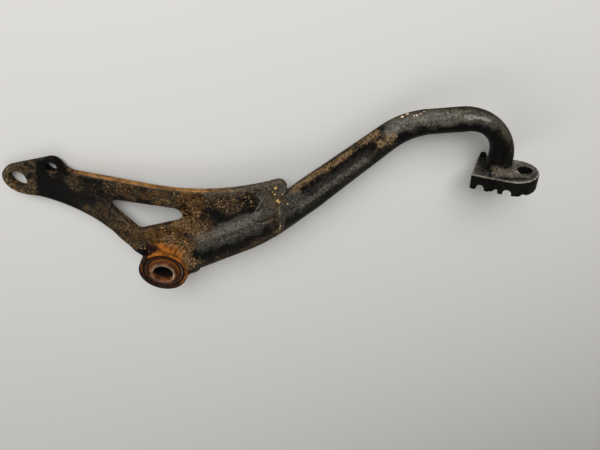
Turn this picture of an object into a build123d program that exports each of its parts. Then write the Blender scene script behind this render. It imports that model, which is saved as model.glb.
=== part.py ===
from build123d import *
import math
import os

# Rear brake pedal: a steel arm with a rod eye and a window, a pivot boss, a tapered round
# lever bar that hooks over at its end, and a serrated toe pad. Millimetres, +Z up.
# The origin is on the pivot axis, half way through the arm's thickness. +Z is the pivot axis,
# +X runs towards the toe pad.

# Arm plate
plate_thickness = 5.0
plate_edge_radius = 1.2
window_edge_chamfer = 0.5
plate_top_fall_deg = 13.9       # slope of the straight upper edge behind the spring lug
plate_top_fall_length = 51.2    # of that edge, from under the lug to where the dip begins
plate_top_below_lug = 1.2       # how far its line passes below the lug's centre
plate_end_height = 26.5         # from the bar's line up the seam to the end of the dip
plate_end_corner_radius = 4.5
plate_heel_reach = 22.1         # lower corner beside the boss, from the pivot
plate_heel_deg = 144.0
plate_heel_foot_deg = 150.4     # where the lower edge runs into the boss
plate_heel_sink = 0.5           # depth to which it does
plate_waist_start_deg = -12.0   # direction in which the lower edge leaves the rod eye

# Rod eye and spring lug
rod_eye_x = -70.6
rod_eye_y = 66.8
rod_eye_outer_radius = 8.9
rod_eye_hole_diameter = 9.7
rod_eye_hole_rise = 0.8         # the hole is worn off centre
rod_eye_hole_setback = 0.4
spring_lug_x = -49.5
spring_lug_y = 74.6
spring_lug_radius = 5.5
spring_hole_diameter = 6.2
spring_hole_setback = 0.4
spring_lug_fillet_radius = 7.0

# Window in the plate: three corners before rounding, and their radii
window_front_x = -29.1
window_front_y = 53.9
window_front_radius = 4.3
window_lower_x = -11.3
window_lower_y = 28.5
window_lower_radius = 3.0
window_bar_x = 38.3
window_bar_y = 40.7
window_bar_radius = 5.8

# Centre line of the lever bar, as runs between its bends
root_run_length = 73.0
root_run_deg = 24.4
lever_run_length = 104.0
lever_run_deg = 40.6
tip_run_length = 54.0
tip_run_deg = 4.1
hook_run_length = 34.0
hook_run_deg = -84.2
root_bend_radius = 60.0
lever_bend_radius = 38.0
hook_bend_radius = 24.0

# Thickness of the bar along that line
bar_seam_radius = 9.8
bar_lever_bend_radius = 7.5
bar_tip_radius = 6.75
hook_flat_radius = 5.7          # half thickness in the middle of the hook, where the bar is squeezed
hook_wide_radius = 6.9          # half width there

# Rib: the bar's round form on the arm, with a hollow blend up to each face of the plate
rib_pivot_radius = 6.9
rib_pivot_drop = 4.2            # how far the rib's middle lies below the bar's line at the pivot
blend_pivot_radius = 8.0
blend_bend_radius = 6.0
blend_seam_radius = 1.5
blend_sink = 0.15               # depth to which the blend runs under the rib and the plate

# Seam between the arm and the bar
seam_from_root_bend = 14.5      # along the lever run
seam_lean_deg = 9.5             # lean of the cut away from the Y axis
seam_margin = 10.3              # round stock of one thickness beyond the far side of the cut
seam_bead_width = 4.0
seam_bead_height = 0.35
seam_bead_chamfer = 0.2
seam_bead_ends = 0.78           # share of the bar's radius at which the bead stops

# Pivot, from the bore outwards
collar_bore_radius = 6.4
collar_wall = 1.9
collar_stand_out = 2.0          # past each face of the boss
collar_end_chamfer = 0.4
running_gap = 0.05              # between the collar and the bush
bush_wall = 2.25
seal_seat_step = 2.4            # the seal's seat is wider than the bush by this
seal_seat_depth = 4.0
seal_recess = 0.4
seal_lip_gap = 0.15
seal_shell = 0.9
seal_dish = 1.1
seal_lip = 1.6
boss_wall = 2.4                 # round the seal's seat
boss_front = 8.5                # height of the front face above the origin
boss_back = 12.5                # depth of the back face below it
boss_rim_chamfer = 0.8
boss_weld_rim_gap = 0.6         # bare boss between the weld and the chamfer
boss_weld_start_deg = 12.0      # inside the rib
boss_weld_end_deg = 120.0       # short of the plate's heel
weld_hollow = 0.36

# Toe pad
pad_length = 34.0
pad_width = 26.0
pad_turn_deg = 32.0             # its long axis, turned from the bar's plane towards the pivot axis
pad_heel_lean = 1.3             # how far the heel's rear corner lies behind its front corner
pad_sheet = 3.0
pad_skirt_height = 9.3
pad_skirt_wall = 3.0
pad_corner_radius = 1.5
pad_edge_radius = 1.0
pad_bar_from_heel = 12.6        # from the straight end to the bar's centre
pad_bar_off_centre = 3.4
pad_hole_diameter = 8.0
pad_hole_from_tip = 8.0
pad_hole_off_centre = -2.6
tooth_pitch = 7.3
tooth_notch_radius = 2.35
tooth_notch_depth = 3.5
tooth_notch_count = 3
tooth_notch_start = 5.9         # from the straight end to the first notch
tip_nick_from_heel = 28.6       # small nick in the rim beside the round tip
tip_nick_radius = 1.1
pad_nub_radius = 1.8
pad_nub_height = 2.4
pad_nub_inset = 2.4
pad_weld_leg = 2.6


def step(point, length, degrees):
    """Point that lies a given length and direction from another one, in the pedal's plane."""
    angle = math.radians(degrees)
    return point + Vector(length * math.cos(angle), length * math.sin(angle))


# Places and fits that follow from the sizes above
pivot = Vector(0, 0)
collar_outer_radius = collar_bore_radius + collar_wall
bush_outer_radius = collar_outer_radius + running_gap + bush_wall
seal_seat_radius = bush_outer_radius + seal_seat_step
boss_outer_radius = seal_seat_radius + boss_wall
boss_weld_leg = boss_front - plate_thickness / 2 - boss_rim_chamfer - boss_weld_rim_gap
rod_eye = Vector(rod_eye_x, rod_eye_y)
rod_eye_hole = rod_eye + Vector(-rod_eye_hole_setback, rod_eye_hole_rise)
spring_lug = Vector(spring_lug_x, spring_lug_y)
spring_hole = spring_lug + Vector(-spring_hole_setback, 0)
plate_heel = step(pivot, plate_heel_reach, plate_heel_deg)
plate_heel_foot = step(pivot, boss_outer_radius - plate_heel_sink, plate_heel_foot_deg)
window_corners = [
    Vector(window_front_x, window_front_y),
    Vector(window_lower_x, window_lower_y),
    Vector(window_bar_x, window_bar_y),
]
root_bend = step(pivot, root_run_length, root_run_deg)
lever_bend = step(root_bend, lever_run_length, lever_run_deg)
hook_bend = step(lever_bend, tip_run_length, tip_run_deg)
bar_foot = step(hook_bend, hook_run_length, hook_run_deg)
half_plate = plate_thickness / 2
bar_line = FilletPolyline(
    pivot, root_bend, lever_bend, hook_bend, bar_foot,
    radius=[root_bend_radius, lever_bend_radius, hook_bend_radius],
)
root_run, root_arc, lever_run, lever_arc, tip_run, hook_arc, foot_run = bar_line.edges().sort_by(bar_line)
seam_point = step(root_bend, seam_from_root_bend, lever_run_deg)
seam_plane = Plane(
    origin=seam_point,
    x_dir=(math.sin(math.radians(seam_lean_deg)), math.cos(math.radians(seam_lean_deg)), 0),
    z_dir=(math.cos(math.radians(seam_lean_deg)), -math.sin(math.radians(seam_lean_deg)), 0),
)

# Distances along the bar's line
seam_slant = math.radians(90 - seam_lean_deg - lever_run_deg)
seam_half_length = bar_seam_radius / math.tan(seam_slant)
root_arc_start = root_run.length
root_arc_end = root_arc_start + root_arc.length
seam_from_bend_end = (seam_point - (lever_run @ 0)).length
seam_reach = seam_from_bend_end + seam_half_length + seam_margin
taper_start = root_arc_end + seam_reach
lever_arc_start = root_arc_end + lever_run.length
lever_arc_end = lever_arc_start + lever_arc.length
hook_arc_start = lever_arc_end + tip_run.length
hook_arc_end = hook_arc_start + hook_arc.length

hook_turn = math.radians(hook_run_deg)
pad_turn = math.radians(pad_turn_deg)
along_plane = Vector(-math.sin(hook_turn), math.cos(hook_turn)) * math.cos(pad_turn)
pad_plane = Plane(
    origin=bar_foot,
    x_dir=along_plane + Vector(0, 0, math.sin(pad_turn)),
    z_dir=(math.cos(hook_turn), math.sin(hook_turn), 0),
)


def disc(centre, radius):
    """Round face whose seam is on its -X side."""
    return Pos(centre.X, centre.Y) * Rot(Z=180) * Circle(radius)


def through_hole(centre, radius):
    """Cutter for a round hole right through the plate."""
    return Pos(centre.X, centre.Y) * Cylinder(radius, 4 * plate_thickness)


def plane_across_bar(distance):
    """Plane square to the bar's centre line; its x axis points to the plate, its y axis up."""
    here = bar_line.position_at(distance, PositionMode.LENGTH)
    along = bar_line.tangent_at(distance, PositionMode.LENGTH)
    return Plane(origin=here, x_dir=(-along.Y, along.X, 0), z_dir=along)


def bar_slice(distance, radius):
    return plane_across_bar(distance) * Circle(radius)


def between(start, end, share):
    return start + (end - start) * share


def nearest_corner(sketch, point):
    return sketch.vertices().sort_by_distance(point)[0]


def lies_on(edge, solid):
    """True for an edge whose middle lies on the skin of a cutter."""
    return solid.distance_to(edge.position_at(0.5)) < 0.01


def plate_outline():
    """Flat outline of the arm: rod eye, spring lug, dipped upper edge and hollow lower edge."""
    eye = Pos(rod_eye.X, rod_eye.Y) * Circle(rod_eye_outer_radius)
    lug = disc(spring_lug, spring_lug_radius)
    head = make_hull([*eye.edges(), *lug.edges()])
    waist_start = step(rod_eye, rod_eye_outer_radius, plate_waist_start_deg - 90)
    waist = TangentArc(waist_start, plate_heel, tangent=step(pivot, 1, plate_waist_start_deg))
    heel = Polyline(plate_heel, plate_heel_foot, pivot, root_bend, seam_point)
    end_corner = seam_point + seam_plane.x_dir * plate_end_height
    fall_start = spring_lug - Vector(0, plate_top_below_lug)
    dip_start = step(fall_start, plate_top_fall_length, -plate_top_fall_deg)
    fall = Line(fall_start, dip_start)
    dip = TangentArc(dip_start, end_corner, tangent=fall % 1)
    seam_side = Line(end_corner, seam_point)
    rear = Polyline(fall_start, rod_eye, waist_start)
    lines = [waist, heel, fall, dip, seam_side, rear]
    blade = make_face([edge for line in lines for edge in line.edges()])
    blade = fillet(nearest_corner(blade, end_corner), plate_end_corner_radius)
    outline = blade + head
    lug_side = spring_lug + Vector(spring_lug_radius, -spring_lug_radius / 2)
    return fillet(nearest_corner(outline, lug_side), spring_lug_fillet_radius)


def window_face():
    radii = [window_front_radius, window_lower_radius, window_bar_radius]
    return make_face(FilletPolyline(*window_corners, radius=radii, close=True))


def edge_is_free(edge):
    """True for the edges of the plate that aren't buried in the rib or the boss."""
    middle = edge.center()
    above_bar = bar_line.distance_to(middle) > bar_seam_radius
    return above_bar and middle.length > boss_outer_radius


def make_web():
    """Flat plate with its holes and window, as it lies between the two halves of the rib."""
    web = Pos(0, 0, -half_plate) * extrude(plate_outline(), plate_thickness)
    free_edges = [edge for edge in web.edges().filter_by(Plane.XY) if edge_is_free(edge)]
    web = fillet(free_edges, plate_edge_radius)
    window = Pos(0, 0, -plate_thickness) * extrude(window_face(), 2 * plate_thickness)
    web -= window
    window_edges = [edge for edge in web.edges().filter_by(Plane.XY) if lies_on(edge, window)]
    web = chamfer(window_edges, window_edge_chamfer)
    web -= through_hole(rod_eye_hole, rod_eye_hole_diameter / 2)
    return web - through_hole(spring_hole, spring_hole_diameter / 2)


def rib_size(distance):
    """The rib swells from the pivot up to the first bend, and its middle rises to the bar's line."""
    share = min(1, distance / root_arc_start)
    return between(rib_pivot_radius, bar_seam_radius, share), rib_pivot_drop * (1 - share)


def rib_slice(distance):
    radius, drop = rib_size(distance)
    return plane_across_bar(distance) * Pos(-drop, 0) * Circle(radius)


def blend_slice(distance):
    """Slice through the hollow blends on both faces of the plate, tangent to rib and plate."""
    radius, drop = rib_size(distance)
    if distance < root_arc_start:
        blend = between(blend_pivot_radius, blend_bend_radius, distance / root_arc_start)
    else:
        past_bend = (distance - root_arc_start) / (taper_start - root_arc_start)
        blend = between(blend_bend_radius, blend_seam_radius, past_bend)
    sunk_radius = radius - blend_sink
    sunk_face = half_plate - blend_sink
    blend_height = sunk_face + blend
    reach = math.sqrt((sunk_radius + blend) ** 2 - blend_height ** 2)
    centre = Vector(reach, blend_height)
    meeting = centre * (sunk_radius / (sunk_radius + blend))
    top = Vector(reach, sunk_face)
    waist = centre + ((meeting - centre).normalized() + Vector(0, -1)).normalized() * blend
    low_meeting, low_waist, low_top = [Vector(point.X, -point.Y) for point in (meeting, waist, top)]
    section = make_face([
        Line(low_meeting, meeting),
        ThreePointArc(meeting, waist, top),
        Line(top, low_top),
        ThreePointArc(low_top, low_waist, low_meeting),
    ])
    return plane_across_bar(distance) * Pos(-drop, 0) * section


def root_stock(radius):
    """Round stock of one thickness that runs through the first bend and past the seam."""
    past_seam = Line(lever_run @ 0, lever_run @ (seam_reach / lever_run.length))
    return sweep(bar_slice(root_arc_start, radius), path=Wire([root_arc, past_seam.edge()]))


def make_arm_plate():
    """One piece of steel: flat plate, rod eye, spring lug, window and the rib along its foot."""
    rib = loft([rib_slice(boss_outer_radius / 2), rib_slice(root_arc_start)], ruled=True)
    stations = [
        boss_outer_radius / 2,
        root_arc_start / 2,
        root_arc_start,
        (root_arc_start + root_arc_end) / 2,
        root_arc_end,
        taper_start,
    ]
    blend = loft([blend_slice(distance) for distance in stations])
    arm = make_web() + rib + root_stock(bar_seam_radius) + blend
    arm = split(arm, bisect_by=seam_plane, keep=Keep.BOTTOM)
    return arm - Cylinder(boss_outer_radius, 4 * bar_seam_radius)


def make_lever_bar():
    """Round bar: full at the seam, tapering to the second bend, squeezed a little in the hook."""
    taper_run = Line(lever_run @ (seam_reach / lever_run.length), lever_run @ 1)
    taper_slices = [
        bar_slice(taper_start, bar_seam_radius),
        bar_slice(lever_arc_start, bar_lever_bend_radius),
        bar_slice(lever_arc_end, bar_tip_radius),
    ]
    taper = sweep(taper_slices, path=Wire([taper_run.edge(), lever_arc]), multisection=True)
    tip = sweep(bar_slice(lever_arc_end, bar_tip_radius), path=Wire([tip_run]))
    hook_middle = plane_across_bar((hook_arc_start + hook_arc_end) / 2)
    hook_slices = [
        bar_slice(hook_arc_start, bar_tip_radius),
        hook_middle * Ellipse(hook_flat_radius, hook_wide_radius),
        bar_slice(hook_arc_end, bar_tip_radius),
    ]
    hook = sweep(hook_slices, path=Wire([hook_arc]), multisection=True)
    foot = sweep(bar_slice(hook_arc_end, bar_tip_radius), path=Wire([foot_run]))
    bar = root_stock(bar_seam_radius) + taper + tip + hook + foot
    return split(bar, bisect_by=seam_plane, keep=Keep.TOP)


def make_seam_bead():
    """Low bead of weld that runs under the bar over the seam, from one blend to the other."""
    reach = 8 * bar_seam_radius
    bead = root_stock(bar_seam_radius + seam_bead_height) & (seam_plane * Box(reach, reach, seam_bead_width))
    rims = [edge for edge in bead.edges() if edge.length > 2 * bar_seam_radius]
    bead = chamfer(rims, seam_bead_chamfer) - root_stock(bar_seam_radius)
    blend_foot = Pos(bar_seam_radius * seam_bead_ends + reach / 2, 0, 0)
    return bead - plane_across_bar(root_arc_end + seam_from_root_bend) * blend_foot * Box(reach, reach, 2 * reach)


def ring(inner, outer, bottom, top):
    """Plain ring on the pivot axis between two heights."""
    height = top - bottom
    body = Pos(0, 0, bottom + height / 2) * Cylinder(outer, height)
    return body - Pos(0, 0, bottom + height / 2) * Cylinder(inner, height)


def make_pivot_boss():
    """Short tube with a seat for a dust seal in each end."""
    boss = ring(bush_outer_radius, boss_outer_radius, -boss_back, boss_front)
    boss -= Pos(0, 0, boss_front - seal_seat_depth / 2) * Cylinder(seal_seat_radius, seal_seat_depth)
    boss -= Pos(0, 0, seal_seat_depth / 2 - boss_back) * Cylinder(seal_seat_radius, seal_seat_depth)
    rims = [edge for edge in boss.edges().filter_by(GeomType.CIRCLE)
            if edge.radius > bush_outer_radius + 0.1 and edge.center().Z in (boss_front, -boss_back)]
    return chamfer(rims, boss_rim_chamfer)


def make_bearing_bush():
    """Plain bush pressed into the middle of the boss, between the two seals."""
    return ring(collar_outer_radius + running_gap, bush_outer_radius,
                seal_seat_depth - boss_back, boss_front - seal_seat_depth)


def make_pivot_collar():
    """Sleeve that the pedal turns on; it stands out past both faces of the boss."""
    collar = ring(collar_bore_radius, collar_outer_radius,
                  -boss_back - collar_stand_out, boss_front + collar_stand_out)
    return chamfer(collar.edges().filter_by(GeomType.CIRCLE), collar_end_chamfer)


def make_dust_seal():
    """Seal ring with a raised outer shell and a lip that slopes in to the collar; rear face at 0."""
    depth = seal_seat_depth - seal_recess
    inner = collar_outer_radius + seal_lip_gap
    profile = Polyline(
        (inner, 0), (seal_seat_radius, 0), (seal_seat_radius, depth),
        (seal_seat_radius - seal_shell, depth), (seal_seat_radius - seal_shell, depth - seal_dish),
        (inner + seal_lip, depth - seal_dish), (inner, depth), close=True,
    )
    return revolve(make_face(Plane.XZ * profile), Axis.Z)


def hollow_weld(corner, leg, side, sweep_deg):
    """Fillet of weld with a hollow face, turned about Z; side is 1 to rise from its corner, -1 to fall."""
    foot = corner + Vector(leg, 0)
    top = corner + Vector(0, side * leg)
    middle = corner + Vector(leg, side * leg) * weld_hollow
    section = make_face([Line(corner, foot), ThreePointArc(foot, middle, top), Line(top, corner)])
    return revolve(Plane.XZ * section, Axis.Z, sweep_deg)


def make_boss_weld():
    """Weld between the boss and the front face of the plate."""
    corner = Vector(boss_outer_radius, half_plate)
    weld = hollow_weld(corner, boss_weld_leg, 1, boss_weld_end_deg - boss_weld_start_deg)
    return Rot(Z=boss_weld_start_deg) * weld


def pad_face(inset):
    """Flat outline of the toe pad: leaning heel end, two long sides and a round tip."""
    radius = pad_width / 2
    straight = pad_length - radius
    block = make_face(Polyline(
        (0, radius), (-pad_heel_lean, -radius), (straight, -radius), (straight, radius), close=True,
    ))
    block = fillet(block.vertices().sort_by(Axis.X)[:2], pad_corner_radius)
    outline = Pos(-pad_bar_from_heel, -pad_bar_off_centre) * (block + Pos(straight, 0) * Circle(radius))
    return offset(outline, -inset) if inset else outline


def rim_notch(from_heel, radius, depth):
    """Cutter right across the pad for a notch with a round top in the skirt's rim."""
    round_top = Rot(X=90) * Cylinder(radius, 2 * pad_width)
    open_end = Box(2 * radius, 2 * pad_width, depth, align=(Align.CENTER, Align.CENTER, Align.MIN))
    place = Pos(from_heel - pad_bar_from_heel, 0, pad_skirt_height + radius - depth)
    return place * (round_top + open_end)


def tooth_notches():
    """Cutters that leave a row of teeth along the pad's rim, and the small nick beside its tip."""
    notches = rim_notch(tip_nick_from_heel, tip_nick_radius, tip_nick_radius)
    for number in range(tooth_notch_count):
        from_heel = tooth_notch_start + number * tooth_pitch
        notches += rim_notch(from_heel, tooth_notch_radius, tooth_notch_depth)
    return notches


def make_pad_nub():
    """Small round nub that stands at the pad's rear heel corner."""
    along = pad_nub_inset - pad_bar_from_heel - pad_heel_lean
    across = pad_nub_inset - pad_width / 2 - pad_bar_off_centre
    nub = Cylinder(pad_nub_radius, pad_nub_height + pad_sheet / 2)
    nub = fillet(nub.edges().sort_by(Axis.Z)[0], pad_nub_radius * 0.6)
    return Pos(along, across, (pad_sheet / 2 - pad_nub_height) / 2) * nub


def make_toe_pad():
    """Pressed tread: a flat sheet with a skirt whose rim is cut into teeth, facing away from the bar."""
    pad = extrude(pad_face(0), pad_skirt_height)
    top_rim = pad.faces().sort_by(Axis.Z)[0].outer_wire().edges()
    pad = fillet(top_rim, pad_edge_radius)
    pad -= Pos(0, 0, pad_sheet) * extrude(pad_face(pad_skirt_wall), pad_skirt_height)
    pad -= tooth_notches()
    hole_along = pad_length - pad_hole_from_tip - pad_bar_from_heel
    hole_across = pad_hole_off_centre - pad_bar_off_centre
    pad -= Pos(hole_along, hole_across) * Cylinder(pad_hole_diameter / 2, 4 * pad_sheet)
    return pad_plane * (pad + make_pad_nub())


def make_pad_weld():
    """Weld round the foot of the bar, on the pad."""
    return pad_plane * hollow_weld(Vector(bar_tip_radius, 0), pad_weld_leg, -1, 360)


def main():
    os.makedirs("parts", exist_ok=True)
    arm = make_arm_plate()
    seal = make_dust_seal()
    front_weld = make_boss_weld() - arm
    parts = {
        "arm_plate": arm,
        "lever_bar": make_lever_bar(),
        "seam_weld": make_seam_bead(),
        "pivot_boss": make_pivot_boss(),
        "boss_weld_front": front_weld,
        "boss_weld_back": mirror(front_weld, about=Plane.XY),
        "bearing_bush": make_bearing_bush(),
        "pivot_collar": make_pivot_collar(),
        "dust_seal_front": Pos(0, 0, boss_front - seal_seat_depth) * seal,
        "dust_seal_back": Pos(0, 0, seal_seat_depth - boss_back) * Rot(X=180) * seal,
        "toe_pad": make_toe_pad(),
        "toe_pad_weld": make_pad_weld(),
    }
    for node, solid in parts.items():
        export_step(solid, f"parts/{node}.step")


if __name__ == "__main__":
    main()
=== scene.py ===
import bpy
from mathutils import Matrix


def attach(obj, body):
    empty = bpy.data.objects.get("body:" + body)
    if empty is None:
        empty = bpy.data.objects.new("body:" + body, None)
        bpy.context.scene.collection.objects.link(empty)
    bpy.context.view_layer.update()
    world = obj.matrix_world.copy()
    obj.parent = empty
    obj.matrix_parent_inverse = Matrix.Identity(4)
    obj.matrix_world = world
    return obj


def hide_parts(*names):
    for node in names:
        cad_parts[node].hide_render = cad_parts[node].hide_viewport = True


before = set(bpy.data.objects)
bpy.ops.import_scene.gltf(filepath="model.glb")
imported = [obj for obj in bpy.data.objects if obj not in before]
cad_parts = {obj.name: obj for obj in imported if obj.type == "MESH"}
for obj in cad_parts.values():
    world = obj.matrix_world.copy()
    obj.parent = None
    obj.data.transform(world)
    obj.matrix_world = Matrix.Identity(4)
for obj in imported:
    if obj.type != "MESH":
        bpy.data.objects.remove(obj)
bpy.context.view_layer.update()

import math

import bmesh
import bpy
import numpy as np
from bpy.props import FloatProperty, FloatVectorProperty, PointerProperty
from mathutils import Matrix, Vector, noise
from mathutils.bvhtree import BVHTree

bl_info = {
    "name": "Rear Brake Pedal",
    "version": (1, 0, 0),
    "blender": (4, 5, 0),
    "location": "3D View > Sidebar > Pedal",
    "description": "Worn finish for a steel rear brake pedal with a serrated toe pad",
    "category": "Object",
}

MM = 0.001

# View of the photograph: 600 by 450 pixels, with a focal length of 450 pixels
PHOTO_WIDTH = 600
PHOTO_HEIGHT = 450
FOCAL_PIXELS = 450
SENSOR_WIDTH = 36.0
CAMERA_PLACE = Vector((0.08363, 0.20169, 0.2225))
CAMERA_RIGHT = Vector((0.99976, 0.0, 0.02171))
CAMERA_UP = Vector((0.01325, 0.79218, -0.61015))
CAMERA_BACK = Vector((-0.01720, 0.61029, 0.79199))

# Places of the lamps, and the place that they light
KEY_PLACE = Vector((0.02, 0.86, 0.82))
FILL_PLACE = Vector((-0.5, -0.8, 0.7))
LIT_PLACE = Vector((0.06, 0.04, 0.0))

# The two bodies that carry the pieces
PEDAL = "pedal"
COLLAR = "collar"

# The way from the pivot up the arm and towards the bar, across the pivot's axis
ARM_SIDE = (0.5, 0.866)

# Radius at which the boss's rim starts, and height of the collar's middle on the pivot's axis
BOSS_RIM = 13.8 * MM
COLLAR_MIDDLE = -2 * MM

# Ripples in each weld round the boss
RIPPLES_ROUND = 38

# Holes in the arm plate: middle, and radius out to which no rust shows on the rim
SPRING_HOLE = (-49.9 * MM, 74.6 * MM, 4.6 * MM)
ROD_EYE = (-70.6 * MM, 66.8 * MM, 6.4 * MM)

# Toe pad: the way that its tread faces, the ways down and along it, and the middle of its hole
PAD_TOP = (-0.101, 0.995, 0.0)
PAD_DOWN = (0.10106, -0.99488, 0.0)
PAD_ALONG = (0.8437, 0.0857, 0.5299)
PAD_HOLE = Vector((217.362, 67.849, 2.013)) * MM

# Pale steel where paint is worn through, also a painted glint where the grey places are strongest
POLISHED_STEEL_GLINT = (0.330, 0.315, 0.280)

# Upright of the floor on which the pedal rests, on its rod eye, its boss and its toe pad
FLOOR_UP = Vector((0.06275, -0.11207, 0.99172))


# Settings

class PedalPaintSettings(bpy.types.PropertyGroup):
    """Colours of the steel and of what lies on it."""
    paint: FloatVectorProperty(
        name="Black Paint", description="Paint where it is whole", subtype="COLOR",
        default=(0.0016, 0.0017, 0.0018))
    # Grey of worn paint, also used for painted highlight on the rib, the bar and the pad.
    paint_grey_and_highlight: FloatVectorProperty(
        name="Rubbed Paint", description="Paint that is rubbed grey", subtype="COLOR",
        default=(0.115, 0.107, 0.087))
    film: FloatVectorProperty(
        name="Brown Film", description="Dried dirt over the paint", subtype="COLOR",
        default=(0.052, 0.036, 0.019))
    rust_dark: FloatVectorProperty(
        name="Dark Rust", description="Old rust in the hollows", subtype="COLOR",
        default=(0.020, 0.009, 0.0035))
    rust: FloatVectorProperty(
        name="Rust", description="Common brown rust", subtype="COLOR",
        default=(0.092, 0.047, 0.015))
    rust_bright: FloatVectorProperty(
        name="Bright Rust", description="Fresh orange rust", subtype="COLOR",
        default=(0.300, 0.125, 0.024))
    tan: FloatVectorProperty(
        name="Tan Dirt", description="Dried tan dirt in specks and crumbs", subtype="COLOR",
        default=(0.270, 0.165, 0.080))
    # Bright steel on the collar's worn ends; its lines are also painted highlight.
    bare_steel_and_glint: FloatVectorProperty(
        name="Bare Steel", description="Steel rubbed bright", subtype="COLOR",
        default=(0.420, 0.340, 0.260))


class PedalSurfaceSettings(bpy.types.PropertyGroup):
    """Fineness of the meshes and depth of the wear in them."""
    arm_cell: FloatProperty(
        name="Arm Cell", description="Mesh size on the arm and the bar", subtype="DISTANCE",
        default=0.55 * MM, min=0.2 * MM, max=2 * MM)
    fine_cell: FloatProperty(
        name="Fine Cell", description="Mesh size on the boss, the pad and the welds",
        subtype="DISTANCE", default=0.36 * MM, min=0.15 * MM, max=2 * MM)
    pit_depth: FloatProperty(
        name="Pit Depth", description="Depth of the rust's pits", subtype="DISTANCE",
        default=0.14 * MM, min=0, max=1 * MM)
    weld_ripple: FloatProperty(
        name="Weld Ripple", description="Height of the ripples in a weld", subtype="DISTANCE",
        default=0.2 * MM, min=0, max=1 * MM)


class PedalStageSettings(bpy.types.PropertyGroup):
    """Floor, background and lamps."""
    floor_colour: FloatVectorProperty(
        name="Floor", description="Colour of the floor", subtype="COLOR",
        default=(0.70, 0.69, 0.66))
    world_level: FloatProperty(
        name="Sky Level", description="Light from all round", default=0.24, min=0, max=2)
    key_power: FloatProperty(
        name="Key Power", description="Power of the large lamp overhead", subtype="POWER",
        default=14.5, min=0, max=200)
    fill_power: FloatProperty(
        name="Fill Power", description="Power of the lamp on the near side", subtype="POWER",
        default=2.5, min=0, max=200)


# Photograph and surface

def pixel_ray(u, v):
    """Direction from the camera through a pixel of the photograph."""
    across = (u - PHOTO_WIDTH / 2) / FOCAL_PIXELS
    up = (PHOTO_HEIGHT / 2 - v) / FOCAL_PIXELS
    return (CAMERA_RIGHT * across + CAMERA_UP * up - CAMERA_BACK).normalized()


def pedal_surface():
    """Search tree over all the solids, for finding the place that a pixel shows."""
    corners, faces = [], []
    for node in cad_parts.values():
        first = len(corners)
        corners.extend(vertex.co.copy() for vertex in node.data.vertices)
        faces.extend([first + index for index in face.vertices] for face in node.data.polygons)
    return BVHTree.FromPolygons(corners, faces)


surface = pedal_surface()


def seen_at(u, v):
    """Place and normal of the pedal's surface at a pixel, or nothing if the ray misses it."""
    place, normal, _, _ = surface.ray_cast(CAMERA_PLACE, pixel_ray(u, v))
    return (place, normal) if place else None


def seen_line(pixels, step_pixels=2.0):
    """Places on the surface along a line of pixels, with their normals."""
    found = []
    for (u0, v0), (u1, v1) in zip(pixels[:-1], pixels[1:]):
        count = max(1, round(math.hypot(u1 - u0, v1 - v0) / step_pixels))
        for number in range(count + 1):
            share = number / count
            hit = seen_at(u0 + (u1 - u0) * share, v0 + (v1 - v0) * share)
            if hit and (not found or (hit[0] - found[-1][0]).length > 0.05 * MM):
                found.append(hit)
    return found
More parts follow.
